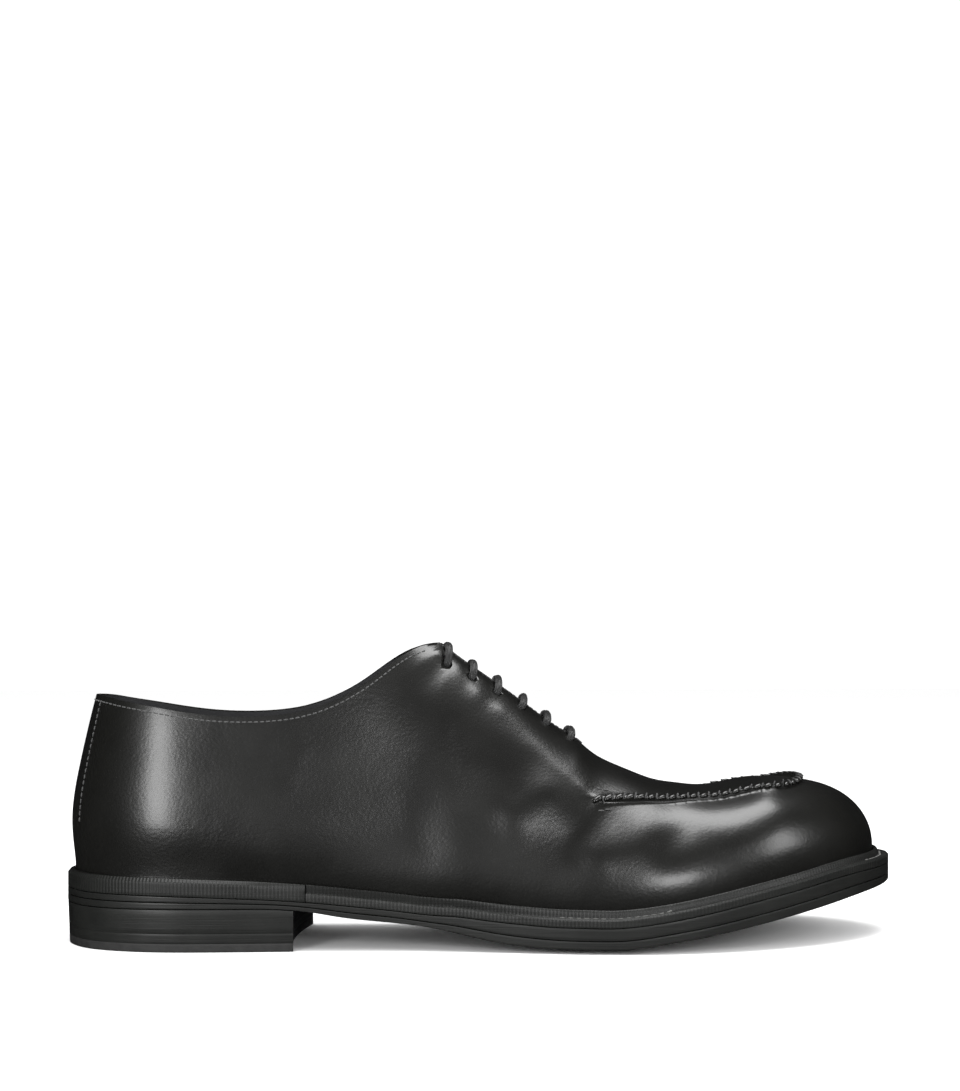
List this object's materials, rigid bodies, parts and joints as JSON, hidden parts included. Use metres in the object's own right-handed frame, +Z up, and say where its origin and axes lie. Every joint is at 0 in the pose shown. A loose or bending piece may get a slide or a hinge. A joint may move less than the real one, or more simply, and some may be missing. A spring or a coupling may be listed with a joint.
{
  "type": "oxford shoe",
  "caption": "Black leather oxford dress shoe for the right foot: whole cut upper with a hand sewn apron, straight bar lacing, storm welt and stacked heel.",
  "frame": {"origin": "on the floor, in the middle of the sole's length and width", "axes": "+X to the toe, -Y to the outer (lateral) side, +Z up"},
  "size_m": [0.306, 0.106, 0.1097],
  "materials": {
    "calf": "polished",
    "lining": "matt",
    "sole_leather": "burnished",
    "rubber": "matt",
    "cord": "waxed"
  },
  "bodies": {
    "root": {"toplift": "rubber", "top_piece": "sole_leather", "heel_stack": "sole_leather", "outsole": "sole_leather", "midsole": "sole_leather", "welt": "sole_leather", "heel_rand": "sole_leather", "insole": "lining", "upper": "calf", "tongue": "lining", "lace": "cord"}
  },
  "joints": []
}
